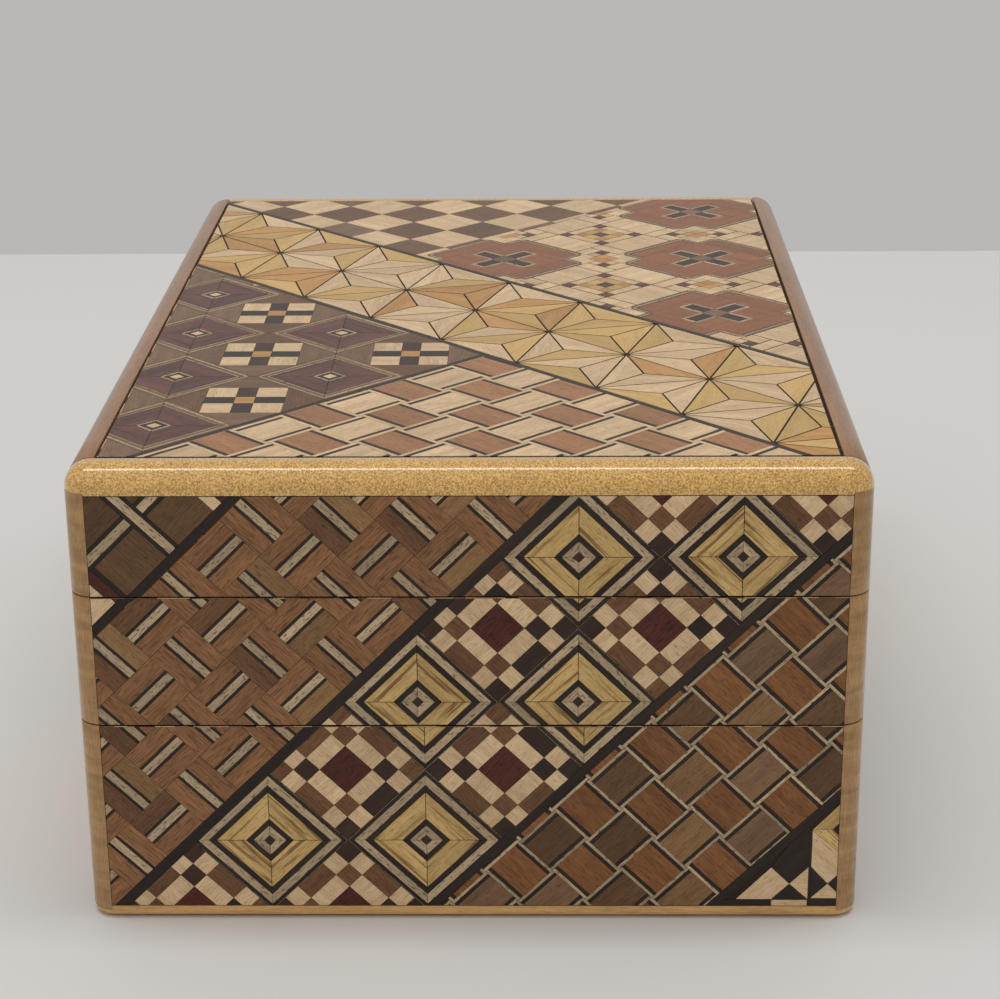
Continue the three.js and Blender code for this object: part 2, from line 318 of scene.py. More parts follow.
def between(angle, low, high):
    """The fences of a band that runs at the given angle, between two distances to its left."""
    left = cmath.rect(1, angle) * 1j
    return [(left, high), (-left, -low)]


def window(x0, x1, y0, y1):
    return [(-1 + 0j, -x0), (1 + 0j, x1), (-1j, -y0), (1j, y1)]


def spun(outline, quarters):
    """An outline turned by quarter turns about the sheet's origin."""
    turn = 1j ** quarters
    return [point * turn for point in outline]


class Pattern:
    """Tiles on one flat sheet, each an outline, a wood, the direction of its grain, and its glue line."""

    def __init__(self, seed):
        self.tiles = []
        self.chance = random.Random(seed)

    def lay(self, outline, wood_name, grain, fences, gap=GLUE_LINE):
        if area(outline) < 0:
            outline = outline[::-1]
        outline = clip_all(outline, fences)
        if outline and area(outline) > SMALLEST_TILE:
            self.tiles.append((outline, wood_name, grain, gap))

    def pick(self, *choices):
        return self.chance.choice(choices)


class Cell:
    """A place on the sheet, turned by an angle, with the fences that everything laid in it is cut to."""

    def __init__(self, pattern, centre, angle, fences):
        self.pattern = pattern
        self.centre = centre
        self.angle = angle
        self.fences = fences

    def lay(self, outline, wood_name, grain=0.0, gap=GLUE_LINE):
        turn = cmath.rect(1, self.angle)
        placed = [self.centre + point * turn for point in outline]
        self.pattern.lay(placed, wood_name, grain + self.angle, self.fences, gap)

    def ring(self, outer, inner, wood_name, gap=GLUE_LINE):
        """A square ring of four mitred pieces, given by half its outer and inner sides."""
        outside, inside = complex(outer, -outer), complex(inner, -inner)
        side = [outside * -1j, outside, inside, inside * -1j]
        for quarter in range(4):
            self.lay(spun(side, quarter), wood_name, quarter * math.pi / 2, gap)

    def square(self, half, wood_name, grain=0.0):
        self.lay(rectangle(-half, half, -half, half), wood_name, grain)


def cells(pattern, fences, origin, pitch, reach=PATTERN_REACH):
    """Cells on a lattice at 45 degrees, with their column and row, out to a reach on either side."""
    pitch_x, pitch_y = pitch
    turn = cmath.rect(1, DIAGONAL)
    columns = int(reach / pitch_x) + 1
    rows = int(reach / pitch_y) + 1
    for row in range(-rows, rows + 1):
        for column in range(-columns, columns + 1):
            centre = origin + complex(column * pitch_x, row * pitch_y) * turn
            yield Cell(pattern, centre, DIAGONAL, fences), column, row


def stripes(cell, length, layers, across=False):
    """Straight strips side by side, filling a cell along one of its axes."""
    start = -sum(width for _, width in layers) / 2
    for wood_name, width in layers:
        strip = rectangle(-length / 2, length / 2, start, start + width)
        if across:
            strip = [point * 1j for point in strip]
        cell.lay(strip, wood_name, math.pi / 2 if across else 0.0)
        start += width


def basket_weave(pattern, fences, origin, pitch, layers_along, layers_across):
    """Square cells of strips, each set at right angles to its neighbours."""
    for cell, column, row in cells(pattern, fences, origin, pitch):
        across = (column + row) % 2 == 1
        make_layers = layers_across if across else layers_along
        stripes(cell, pitch[1] if across else pitch[0], make_layers(), across)


def brown_weave(pattern, fences, origin):
    def layers():
        first = pattern.pick("brown", "brown", "brown", "tan")
        second = pattern.pick("brown", "brown", "walnut")
        return [(first, 2.6), ("black", 0.4), ("ash", 1.1), ("black", 0.4), (second, 2.6)]

    basket_weave(pattern, fences, origin, (7.107, 7.107), layers, layers)


def framed_layers(wood_name, pitch, edge_wood, edge, line):
    body = pitch - 2 * (edge + line)
    return [(edge_wood, edge), ("black", line), (wood_name, body), ("black", line), (edge_wood, edge)]


def olive_chestnut_weave(pattern, fences, origin):
    pitch = (6.6, 6.27)

    def along():
        return framed_layers(pattern.pick("olive", "olive", "taupe", "tan"), pitch[1], "ash", 0.45, 0.5)

    def across():
        return framed_layers("chestnut", pitch[0], "ash", 0.45, 0.5)

    basket_weave(pattern, fences, origin, pitch, along, across)


def cream_rose_weave(pattern, fences, origin):
    pitch = (7.97, 7.97)

    def along():
        return framed_layers("cream", pitch[1], "cream", 0.65, 0.62)

    def across():
        return framed_layers("rose", pitch[0], "cream", 0.65, 0.62)

    basket_weave(pattern, fences, origin, pitch, along, across)


def nested_squares(cell, side):
    """The eye tile: mitred rings of ash and yellow wood between black lines, round a dark centre."""
    unit = side / 15.0
    rings = [
        (7.50, 7.42, "ash"), (7.42, 6.93, "black"), (6.93, 5.87, "ash"), (5.87, 5.13, "black"),
        (5.13, 2.26, "yellow"), (2.26, 1.59, "black"), (1.59, 0.55, "ash"),
    ]
    for outer, inner, wood_name in rings:
        cell.ring(outer * unit, inner * unit, wood_name, 0.05 if wood_name == "yellow" else GLUE_LINE)
    cell.square(0.55 * unit, "umber")


def chequered_star(cell, side):
    """The star tile: a wine square, cream blocks on its sides, and small chequers in the corners."""
    pick = cell.pattern.pick
    edge = side / 6
    stops = [-3 * edge, -2 * edge, -edge, edge, 2 * edge, 3 * edge]

    def block(column, row, wood_name, grain):
        cell.lay(rectangle(stops[column], stops[column + 1], stops[row], stops[row + 1]), wood_name, grain)

    block(2, 2, "wine", 0.0)
    quarter = math.pi / 2
    for column, row, grain in ((2, 1, quarter), (2, 3, quarter), (1, 2, 0.0), (3, 2, 0.0)):
        block(column, row, "cream", grain)
    for column, row, grain in ((2, 0, 0.0), (2, 4, 0.0), (0, 2, quarter), (4, 2, quarter)):
        block(column, row, pick("walnut", "walnut", "umber"), grain)
    for right in (0, 1):
        for top in (0, 1):
            outer_column, inner_column = (4, 3) if right else (0, 1)
            outer_row, inner_row = (4, 3) if top else (0, 1)
            block(outer_column, outer_row, pick("umber", "walnut", "umber"), 0.0)
            block(inner_column, inner_row, pick("walnut", "walnut", "umber", "black"), quarter)
            block(outer_column, inner_row, "cream", 0.0)
            block(inner_column, outer_row, "cream", quarter)


def eyes_and_stars(pattern, fences, origin):
    side = 15.0
    for cell, column, row in cells(pattern, fences, origin, (15.05, side)):
        if (column + row) % 2 == 0:
            nested_squares(cell, side)
        else:
            chequered_star(cell, side)


def plum_square(cell, side):
    """A dark mitred square in thin light frames, with a small framed centre."""
    unit = side / 15.56
    rings = [
        (7.78, 7.35, "taupe"), (7.35, 6.95, "ash"), (6.95, 6.40, "taupe"), (6.40, 6.15, "ash"),
        (6.15, 1.75, "plum"), (1.75, 1.35, "ash"), (1.35, 0.75, "umber"),
    ]
    for outer, inner, wood_name in rings:
        cell.ring(outer * unit, inner * unit, wood_name, 0.035)
    cell.square(0.75 * unit, "cream")


def chequer_cross(cell, side):
    """Four cream squares parted by dark arms with an orange middle, and taupe gussets on their four sides."""
    reach = side / math.sqrt(2)
    upright = Cell(cell.pattern, cell.centre, cell.angle - DIAGONAL, cell.fences)
    half = reach / 2 + 0.1
    arm = 1.4
    gusset = [complex(half, -half), complex(reach, 0), complex(half, half)]
    for quarter in range(4):
        grain = quarter * math.pi / 2
        upright.lay(spun(rectangle(arm, half, arm, half), quarter), "cream", grain)
        bar_wood = "umber" if quarter % 2 else "black"
        upright.lay(spun(rectangle(arm, half, -arm, arm), quarter), bar_wood, grain)
        gusset_wood = cell.pattern.pick("taupe", "taupe", "walnut")
        upright.lay(spun(gusset, quarter), gusset_wood, grain + math.pi / 2)
    upright.square(arm, "orange")


def squares_and_crosses(pattern, fences, origin):
    side = 15.56
    for cell, column, row in cells(pattern, fences, origin, (side, side)):
        if (column + row) % 2 == 0:
            plum_square(cell, side)
        else:
            chequer_cross(cell, side)


def hemp_leaf(pattern, fences, angle, origin, heights):
    """Two rows of triangles, each cut from its middle into three, so that leaves meet in stars."""
    edge = 16.6
    turn = cmath.rect(1, angle)
    count = int(PATTERN_REACH / edge) + 2
    for sign, rise in ((-1, heights[0]), (1, heights[1])):
        tip = complex(edge / 2, sign * rise)
        for step in range(-count, count + 1):
            start = complex(step * edge, 0)
            triangles = (
                [start, start + edge, start + tip],
                [start + edge, start + tip, start + tip + edge],
            )
            for triangle in triangles:
                middle = sum(triangle) / 3
                for first, second in zip(triangle, triangle[1:] + triangle[:1]):
                    outline = [origin + point * turn for point in (first, second, middle)]
                    grain = cmath.phase((second - first) * turn)
                    wood_name = pattern.pick("cream", "cream", "cream", "straw", "straw", "straw", "orange")
                    slant = pattern.chance.uniform(-0.3, 0.3)
                    pattern.lay(outline, wood_name, grain + slant, fences, 0.15)


def chequerboard(pattern, fences, origin):
    side = 8.65
    for cell, column, row in cells(pattern, fences, origin, (side, side)):
        dark = pattern.pick("taupe", "walnut", "walnut")
        cell.square(side / 2, "cream" if (column + row) % 2 else dark, pattern.pick(0.0, math.pi / 2))


def rimmed(cell, outline, edges, rims, field, grain):
    """A convex outline with mitred rims inside the numbered edges, and a field of another wood in them."""
    lines = []
    for index in edges:
        here, there = outline[index], outline[(index + 1) % len(outline)]
        inward = 1j * (there - here) / abs(there - here)
        lines.append((here, inward))
    inner = 0.0
    for width, wood_name in rims:
        for here, inward in lines:
            start = (here * inward.conjugate()).real
            fences = [(-inward, -(start + inner)), (inward, start + inner + width)]
            piece = clip_all(outline, fences)
            for other, other_inward in lines:
                if other_inward != inward and piece:
                    across = inward - other_inward
                    limit = start - (other * other_inward.conjugate()).real
                    piece = clip_all(piece, [(across / abs(across), limit / abs(across))])
            if piece:
                cell.lay(piece, wood_name, cmath.phase(inward) + math.pi / 2)
        inner += width
    fences = [(-inward, -((here * inward.conjugate()).real + inner)) for here, inward in lines]
    centre = clip_all(outline, fences)
    if centre:
        cell.lay(centre, field, grain)


def medallion(cell, half):
    """A brick-red octagon with a notch in each upright side, three thin rims and an outlined cross."""
    foot, flat = 7.6, 13.0
    rims = ((0.42, "taupe"), (0.36, "ash"), (0.42, "taupe"))
    arm_end, arm_half, edge = 6.3, 1.65, 0.55
    inner = arm_half - edge
    straw_foot = half - 1.9
    chamfers = [(cmath.rect(1, DIAGONAL), flat), (cmath.rect(1, -DIAGONAL), flat)]
    outside = [(-normal, -limit) for normal, limit in chamfers]

    def part(x0, x1, y0, y1, wood_name, gap=GLUE_LINE):
        cell.lay(spun(rectangle(x0, x1, y0, y1), quarter), wood_name, quarter * math.pi / 2, gap)

    for quarter in range(4):
        grain = quarter * math.pi / 2
        arm = clip_all(rectangle(foot, half, -foot, foot), chamfers)
        inner_edge = min(range(len(arm)), key=lambda i: (arm[i] + arm[(i + 1) % len(arm)]).real)
        edges = [index for index in range(len(arm)) if index != inner_edge]
        rimmed(cell, spun(arm, quarter), edges, rims, "brick", grain + math.pi / 2)
        for fence in outside:
            corner = clip_all(rectangle(foot, half, -foot, foot), [fence])
            if corner:
                cell.lay(spun(corner, quarter), "cream", grain)
        part(foot, straw_foot, foot, straw_foot, "cream")
        part(straw_foot, half, foot, straw_foot, "cream")
        part(foot, straw_foot, straw_foot, half, "cream")
        part(straw_foot, half, straw_foot, half, "orange", 0.05)
        part(arm_half, foot, arm_half, foot, "brick")
        part(arm_end, foot, -arm_half, arm_half, "brick")
        part(arm_half, arm_end, inner, arm_half, "ash")
        part(arm_half, arm_end, -arm_half, -inner, "ash")
        part(arm_end - edge, arm_end, -inner, inner, "ash")
        part(arm_half, arm_end - edge, -inner, inner, "umber")
    cell.square(arm_half, "taupe")


def flower(cell, half):
    """Small dark and orange squares along both diagonals, in cream. Each corner meets a medallion's notch."""
    small, step = 1.2, 2.0
    dark_end = small + 2 * step
    notch_start, notch_end = half - 3.8, half - 1.9

    def corner(low, high, wood_name):
        cell.lay(spun(rectangle(low, high, low, high), quarter), wood_name, 0.0, 0.05)

    def cream(x0, x1, y0, y1):
        cell.lay(spun(rectangle(x0, x1, y0, y1), quarter), "cream", cmath.phase(1j ** quarter), 0.14)

    cell.square(small, "plum")
    for quarter in range(4):
        corner(small, small + step, "orange")
        corner(small + step, dark_end, "plum")
        corner(notch_start, notch_end, "plum")
        corner(notch_end, half, "orange")
        petal = spun(rectangle(small, small + step, -small, small), quarter)
        cell.lay(petal, "straw", cmath.phase(1j ** quarter), 0.03)
        cream(small + step, dark_end, -small - step, small + step)
        cream(dark_end, half, -dark_end, dark_end)
        cream(dark_end, notch_start, dark_end, half)
        cream(notch_start, half, dark_end, notch_start)
        cream(notch_end, half, notch_start, notch_end)
        cream(notch_start, notch_end, notch_end, half)


def medallions_and_flowers(pattern, fences, origin):
    side = 23.6
    half = side / 2
    for cell, column, row in cells(pattern, fences, origin, (side, side), 130):
        if (column + row) % 2 == 0:
            medallion(cell, half)
        else:
            flower(cell, half)


def dividing_strip(pattern, fences, angle, low, high, wood_name="black"):
    """A straight strip between two bands, long enough to cross any sheet."""
    turn = cmath.rect(1, angle)
    outline = [point * turn for point in rectangle(-200, 200, low, high)]
    pattern.lay(outline, wood_name, angle, fences)


# ---- The sheets ----

# The black strips of the near end, by their distances to the left of a 45 degree line through its foot.
STRIP_A = (65.1, 66.4)
STRIP_B = (35.25, 36.75)
STRIP_C = (5.15, 6.4)
STRIP_D = (-21.7, -20.45)


def near_corner_top(pattern, fences):
    """The upper left corner: large olive squares parted by two crossing strips, with red and cream ends."""
    region = fences + between(DIAGONAL, STRIP_A[1], 200)
    crossing = complex(-43.2, 60.4)
    falling = Cell(pattern, crossing, -DIAGONAL, region)
    rising = Cell(pattern, crossing, DIAGONAL, region)
    half_ash, half_black, size, reach = 0.6, 1.15, 8.9, 12
    lines = ((-half_ash, half_ash, "ash"), (half_ash, half_black, "black"), (-half_black, -half_ash, "black"))
    for low, high, wood_name in lines:
        falling.lay(rectangle(-reach, reach, low, high), wood_name)
        rising.lay(rectangle(-reach, -half_black, low, high), wood_name)
        rising.lay(rectangle(half_black, reach, low, high), wood_name)
    cream_start, wine_start = 7.85, 9.4
    rising.lay(rectangle(-size, -half_black, -size, -half_black), "olive", math.pi / 2)
    rising.lay(rectangle(half_black, cream_start, -size - 2, -half_black), "olive")
    rising.lay(rectangle(cream_start, wine_start, -size - 2, -half_black), "cream")
    rising.lay(rectangle(wine_start, size + 6, -size - 2, -half_black), "wine")
    rising.lay(rectangle(-size - 6, -half_black, half_black, reach), "olive")
    rising.lay(rectangle(half_black, reach, half_black, reach), "olive")
    wine_edge, cream_edge = -size - 0.7, -size - 2.3
    rising.lay(rectangle(wine_edge, -size, -reach, -half_black), "black", math.pi / 2)
    rising.lay(rectangle(cream_edge, wine_edge, -reach, -half_black), "wine", math.pi / 2)
    rising.lay(rectangle(-size - 16, cream_edge, -16, -half_black), "cream")


def near_corner_foot(pattern, fences):
    """The lower right corner: black, cream and yellow pieces cut on both diagonals."""
    region = fences + between(DIAGONAL, -200, STRIP_D[0])
    left_meet, right_meet = 42.3 + 5.4j, 47.5 + 5.4j
    left_top, left_foot, left_side = 39.8 + 7.9j, 39.9 + 3.0j, 44.85 + 7.95j
    right_foot, right_edge, step = 45.2 + 3.15j, 49.8 + 7.8j, 45.2 + 8.0j
    eye, eye_side = 45.2 + 13.6j, 47.9 + 13.7j
    pieces = [
        ([35.1 + 3.0j, left_foot, left_meet, left_top], "cream", DIAGONAL),
        ([left_foot, 44.8 + 3.0j, left_meet], "black", 0.0),
        ([44.85 + 3.0j, left_side, left_meet], "cream", 0.0),
        ([left_top, left_meet, left_side, 44.85 + 14.5j, 44 + 14.5j], "black", DIAGONAL),
        (rectangle(30.0, 39.9, 1.9, 2.9), "black", 0.0),
        (rectangle(39.9, 44.8, 1.9, 2.9), "cream", 0.0),
        (rectangle(44.85, 45.15, 1.0, 13.6), "black", math.pi / 2),
        (rectangle(45.2, 49.6, 1.5, 3.1), "black", 0.0),
        ([right_foot, 49.7 + 3.15j, right_meet], "cream", 0.0),
        ([right_foot, right_meet, step], "black", 0.0),
        ([49.7 + 3.15j, 49.7 + 7.8j, right_meet], "black", 0.0),
        ([step, right_meet, right_edge, 49.8 + 9.3j, eye], "cream", -DIAGONAL),
        ([eye, 49.8 + 9.3j, 49.8 + 11.7j, eye_side], "yellow", -DIAGONAL),
        ([eye, eye_side, 49.8 + 15.7j, 49.8 + 18.6j], "yellow", DIAGONAL),
        ([eye_side, 49.8 + 11.7j, 49.8 + 12.5j, 48.6 + 13.7j, 49.8 + 15.0j, 49.8 + 15.7j], "black", DIAGONAL),
        ([48.65 + 13.7j, 49.8 + 12.55j, 49.8 + 14.95j], "brown", 0.0),
    ]
    for outline, wood_name, grain in pieces:
        pattern.lay(outline, wood_name, grain, region)


def near_pattern(fences, seed=11):
    """The near end: five bands at 45 degrees, parted by black strips."""
    pattern = Pattern(seed)
    near_corner_top(pattern, fences)
    upper_band = fences + between(DIAGONAL, STRIP_B[1], STRIP_A[0])
    middle_band = fences + between(DIAGONAL, STRIP_C[1], STRIP_B[0])
    lower_band = fences + between(DIAGONAL, STRIP_D[1], STRIP_C[0])
    brown_weave(pattern, upper_band, complex(-32.1, 44.77))
    eyes_and_stars(pattern, middle_band, complex(-6.95, 33.3))
    olive_chestnut_weave(pattern, lower_band, complex(19.54, 21.33))
    near_corner_foot(pattern, fences)
    for low, high in (STRIP_A, STRIP_B, STRIP_C, STRIP_D):
        dividing_strip(pattern, fences, DIAGONAL, low, high)
    return pattern


def lid_pattern(fences, seed=23):
    """The lid: a hemp-leaf band from corner to corner, with two patterns on either side of it."""
    pattern = Pattern(seed)
    leaf_angle = math.radians(-46.6)
    leaf_origin = complex(22.0, 49.8 - HALF_LENGTH)
    leaf_left = cmath.rect(1, leaf_angle) * 1j
    leaf_base = (leaf_origin * leaf_left.conjugate()).real
    rows = (14.5, 14.9)
    strip, beyond = 0.9, 300
    low, high = leaf_base - rows[0], leaf_base + rows[1]
    hemp_leaf(pattern, fences + between(leaf_angle, low, high), leaf_angle, leaf_origin, rows)
    dividing_strip(pattern, fences, leaf_angle, low - strip, low)
    dividing_strip(pattern, fences, leaf_angle, high, high + strip)

    near_side = fences + between(leaf_angle, -beyond, low - strip)
    far_side = fences + between(leaf_angle, high + strip, beyond)

    def left_of_diagonal(difference):
        """How far left of the sheet's own 45 degree line another lies, by its x - y from the near face."""
        return -(difference + HALF_LENGTH) / math.sqrt(2)

    near_split = left_of_diagonal(-48.8)
    near_left = near_side + between(DIAGONAL, near_split + strip / 2, beyond)
    near_right = near_side + between(DIAGONAL, -beyond, near_split - strip / 2)
    squares_and_crosses(pattern, near_left, complex(-42.8, 17.6 - HALF_LENGTH))
    cream_rose_weave(pattern, near_right, complex(7.4, 15.95 - HALF_LENGTH))
    dividing_strip(pattern, near_side, DIAGONAL, near_split - strip / 2, near_split + strip / 2)

    far_split = left_of_diagonal(-118.5)
    far_left = far_side + between(DIAGONAL, far_split, beyond)
    far_right = far_side + between(DIAGONAL, -beyond, far_split)
    chequerboard(pattern, far_left, complex(-25.5, 125.5 - HALF_LENGTH))
    medallions_and_flowers(pattern, far_right, complex(36.6, 72.0 - HALF_LENGTH))
    return pattern


def side_pattern(fences, seed):
    """A long side: the same patterns in bands at 45 degrees, parted by black strips at the bands' edges."""
    pattern = Pattern(seed)
    half_strip = 0.65
    half_eye = cmath.rect(7.5, 3 * DIAGONAL)
    edges = [130, 92.6, 62.0, 32.6, 2.6, -27.2, -57.6, -88.0, -130]

    def band(index):
        return fences + between(DIAGONAL, edges[index + 1] + half_strip, edges[index] - half_strip)

    def middle(index):
        return cmath.rect(1, DIAGONAL) * 1j * (edges[index] + edges[index + 1]) / 2

    for edge in edges[1:-1]:
        dividing_strip(pattern, fences, DIAGONAL, edge - half_strip, edge + half_strip)
    squares_and_crosses(pattern, band(0), middle(0))
    brown_weave(pattern, band(1), middle(1))
    eyes_and_stars(pattern, band(2), middle(2) + half_eye)
    olive_chestnut_weave(pattern, band(3), middle(3))
    hemp_leaf(pattern, band(4), DIAGONAL, middle(4), (14.5, 14.5))
    cream_rose_weave(pattern, band(5), middle(5))
    eyes_and_stars(pattern, band(6), middle(6) + half_eye)
    brown_weave(pattern, band(7), middle(7))
    return pattern


# ---- Meshes ----

def box_mm(node):
    low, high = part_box(node)
    return [value / MM for value in low], [value / MM for value in high]


def material_slots(mesh, materials, names):
    """Adds the named materials to a mesh and gives the number of each."""
    numbers = {}
    for name in names:
        numbers[name] = len(mesh.materials)
        mesh.materials.append(materials[name])
    return numbers


def new_piece(name, mesh, body, nodes):
    piece = bpy.data.objects.new(name, mesh)
    bpy.context.scene.collection.objects.link(piece)
    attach(piece, body)
    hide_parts(*nodes)
    return piece


def grain_map(grain, shift):
    """Turns a sheet point into millimetres along and across a tile's grain, moved to its place in the log."""
    turn = cmath.rect(1, -grain)

    def on_map(point):
        moved = point * turn + shift
        return moved.real, moved.imag
    return on_map


def tile_sheet(name, pattern, to_space, woods, body, node, bed):
    """One mesh of closed tiles on a closed bed. to_space turns a sheet point and a depth into metres."""
    vertices, faces, face_woods, face_tones, face_maps = [], [], [], [], []
    chance = random.Random(name)

    def prism(outline, top, foot, wood_name, tone, on_map):
        start = len(vertices)
        count = len(outline)
        vertices.extend(to_space(point, top) for point in outline)
        vertices.extend(to_space(point, foot) for point in outline)
        rings = [tuple(range(count)), tuple(range(2 * count - 1, count - 1, -1))]
        for index in range(count):
            following = (index + 1) % count
            rings.append((index, index + count, following + count, following))
        for ring in rings:
            faces.append([start + index for index in ring])
            face_woods.append(wood_name)
            face_tones.append(tone)
            face_maps.append([on_map(outline[index % count]) for index in ring])

    for outline, wood_name, grain, gap in pattern.tiles:
        tile = shrunk(outline, gap)
        if not tile or area(tile) < SMALLEST_TILE:
            continue
        shift = complex(chance.uniform(0, GRAIN_SPREAD), chance.uniform(0, GRAIN_SPREAD))
        prism(tile, 0.0, TILE_DEPTH, wood_name, chance.random(), grain_map(grain, shift))
    prism(rectangle(*bed), TILE_DEPTH + BED_GAP, BED_DEPTH, "glue", 0.5, grain_map(0.0, 0.0))

    mesh = bpy.data.meshes.new(name)
    mesh.from_pydata(vertices, [], faces)
    numbers = material_slots(mesh, woods, sorted(set(face_woods)))
    mesh.polygons.foreach_set("material_index", [numbers[wood_name] for wood_name in face_woods])
    tones = mesh.attributes.new("tone", "FLOAT", "FACE")
    tones.data.foreach_set("value", face_tones)
    layer = mesh.uv_layers.new(name="grain")
    flat = [value for corners in face_maps for corner in corners for value in corner]
    layer.data.foreach_set("uv", flat)
    mesh.validate()
    mesh.update()
    return new_piece(name, mesh, body, [node])


def near_place(outward, lift, slip):
    """Puts a point of an end's sheet on its face. The pattern also counts the wood that the saw took."""
    def to_space(point, depth):
        across = outward * (point.real + slip)
        return (across * MM, -outward * (HALF_LENGTH - depth) * MM, (point.imag - lift) * MM)
    return to_space


def side_place(outward):
    """Puts a point of a long side's sheet on its face, seen from outside."""
    def to_space(point, depth):
        return (outward * (HALF_WIDTH - depth) * MM, outward * point.real * MM, point.imag * MM)
    return to_space


def lid_place(point, depth):
    return (point.real * MM, point.imag * MM, (HEIGHT - depth) * MM)


def end_sheets(woods):
    """The three sheets of the near end and the two of the far end, each a part of one pattern."""
    closed, open_edge = CUT_CLOSING, 0.0
    rows = [
        ("near_lower", "lower_strip", 0.0, LOWEST_STRIP_SHIFT, 1, "near_lower_veneer", open_edge, closed),
        ("near_middle", "middle_strip", KERF, 0.0, 1, "near_middle_veneer", closed, closed),
        ("near_top", "top_strip", 2 * KERF, 0.0, 1, "near_top_veneer", closed, open_edge),
        ("far_lower", "carcass", 0.0, 0.0, -1, "far_end_veneer", open_edge, closed),
        ("far_top", "lid", KERF, 0.0, -1, "lid_end_veneer", closed, open_edge),
    ]
    for name, body, lift, slip, outward, node, below, above in rows:
        low, high = box_mm(node)
        left, right = low[0] - slip - SHEET_EDGE, high[0] - slip + SHEET_EDGE
        bed = (left, right, low[2] + lift - below, high[2] + lift + above)
        pattern = near_pattern(window(*bed), seed=sum(map(ord, name)))
        if name in ("near_middle", "near_lower"):
            chips(pattern, bed[0], bed[1], bed[3], seed=len(name))
        tile_sheet(f"marquetry_{name}", pattern, near_place(outward, lift, slip), woods, body, node, bed)


def chips(pattern, x0, x1, top, seed):
    """A row of thin splinters along a strip's upper edge, where the saw broke the lacquer."""
    chance = random.Random(seed)
    depth, shortest, longest = 0.11, 0.4, 3.2
    cut = [(clip(outline, 1j, top - depth), *rest) for outline, *rest in pattern.tiles]
    pattern.tiles = [tile for tile in cut if len(tile[0]) >= 3 and area(tile[0]) > SMALLEST_TILE]
    x = x0
    while x < x1:
        end = min(x + chance.uniform(shortest, longest), x1)
        wood_name = chance.choice(("raw", "raw", "tan", "brown", "walnut", "umber"))
        pattern.tiles.append((rectangle(x, end, top - depth, top), wood_name, 0.0, 0.01))
        x = end


def side_sheets(woods):
    for name, outward in (("left", -1), ("right", 1)):
        low, high = box_mm(f"{name}_veneer")
        ends = sorted((outward * low[1], outward * high[1]))
        bed = (ends[0] - SHEET_EDGE, ends[1] + SHEET_EDGE, low[2] - SHEET_EDGE, high[2] + SHEET_EDGE)
        pattern = side_pattern(window(*bed), seed=31 + outward)
        body, node = f"{name}_side", f"{name}_veneer"
        tile_sheet(f"marquetry_{name}", pattern, side_place(outward), woods, body, node, bed)


def lid_sheet(woods):
    low, high = box_mm("lid_veneer")
    bed = (low[0], high[0], low[1], high[1])
    # The tiles stop short of the sheet's left, right and near edges, so a thin line of the dark bed shows along
    # those seams.
    bare_left, bare_right, bare_near = 0.05, 0.08, 0.12
    fences = window(low[0] + bare_left, high[0] - bare_right, low[1] + bare_near, high[1])
    tile_sheet("marquetry_lid", lid_pattern(fences), lid_place, woods, "lid", "lid_veneer", bed)


# ---- Solid boards with rounded edges ----

def stations(low, high, half, radii):
    """Grid lines along one axis: the ends, the rounding's own divisions, and even steps between."""
    stops = {low, high}
    for sign in (-1, 1):
        for radius in radii:
            for step in range(ARC_STEPS + 1):
                offset = half - radius + radius * math.tan(step * DIAGONAL / ARC_STEPS)
                stops.add(sign * offset)
    return fill_in(stops, low, high)


def height_stations(low, high):
    stops = {low, high}
    for step in range(ARC_STEPS + 1):
        rise = math.tan(step * DIAGONAL / ARC_STEPS)
        stops.add(HEIGHT - EDGE_RADIUS + EDGE_RADIUS * rise)
        stops.add(FOOT_RADIUS - FOOT_RADIUS * rise)
    return fill_in(stops, low, high)


def fill_in(stops, low, high):
    """Keeps the stops inside a span, drops near doubles, and adds even steps in the long gaps."""
    closest = 0.12
    kept = [low]
    for stop in sorted(stops):
        if low + closest < stop < high - closest and stop - kept[-1] > closest:
            kept.append(stop)
    kept.append(high)
    filled = [kept[0]]
    for stop in kept[1:]:
        gap = stop - filled[-1]
        parts = max(1, round(gap / BOARD_GRID))
        start = filled[-1]
        filled.extend(start + gap * part / parts for part in range(1, parts + 1))
    return filled


def round_pair(first, second):
    """Turns a square corner into a round one, keeping each square ring a round ring."""
    largest = max(first, second)
    length = math.hypot(first, second)
    if length < 1e-9:
        return first, second
    return first * largest / length, second * largest / length


def rounded(x, y, z):
    """Moves a point of the square box to the rounded box."""
    core_x, core_y = HALF_WIDTH - EDGE_RADIUS, HALF_LENGTH - EDGE_RADIUS
    past_x, past_y = abs(x) - core_x, abs(y) - core_y
    if past_x > 0 and past_y > 0:
        past_x, past_y = round_pair(past_x, past_y)
        x = math.copysign(core_x + past_x, x)
        y = math.copysign(core_y + past_y, y)
    if past_x > 0 and past_y > 0:
        reach = math.hypot(past_x, past_y)
        normal = (math.copysign(past_x / reach, x), math.copysign(past_y / reach, y))
        inside = EDGE_RADIUS - reach
    elif past_x > past_y:
        normal = (math.copysign(1, x), 0)
        inside = EDGE_RADIUS - past_x
    else:
        normal = (0, math.copysign(1, y))
        inside = EDGE_RADIUS - past_y
    above, below = z - (HEIGHT - EDGE_RADIUS), FOOT_RADIUS - z
    for radius, past_z, sign in ((EDGE_RADIUS, above, 1), (FOOT_RADIUS, below, -1)):
        past_side = radius - inside
        if past_z > 0 and past_side > 0:
            new_side, new_z = round_pair(past_side, past_z)
            x += normal[0] * (new_side - past_side)
            y += normal[1] * (new_side - past_side)
            z += sign * (new_z - past_z)
    return x, y, z


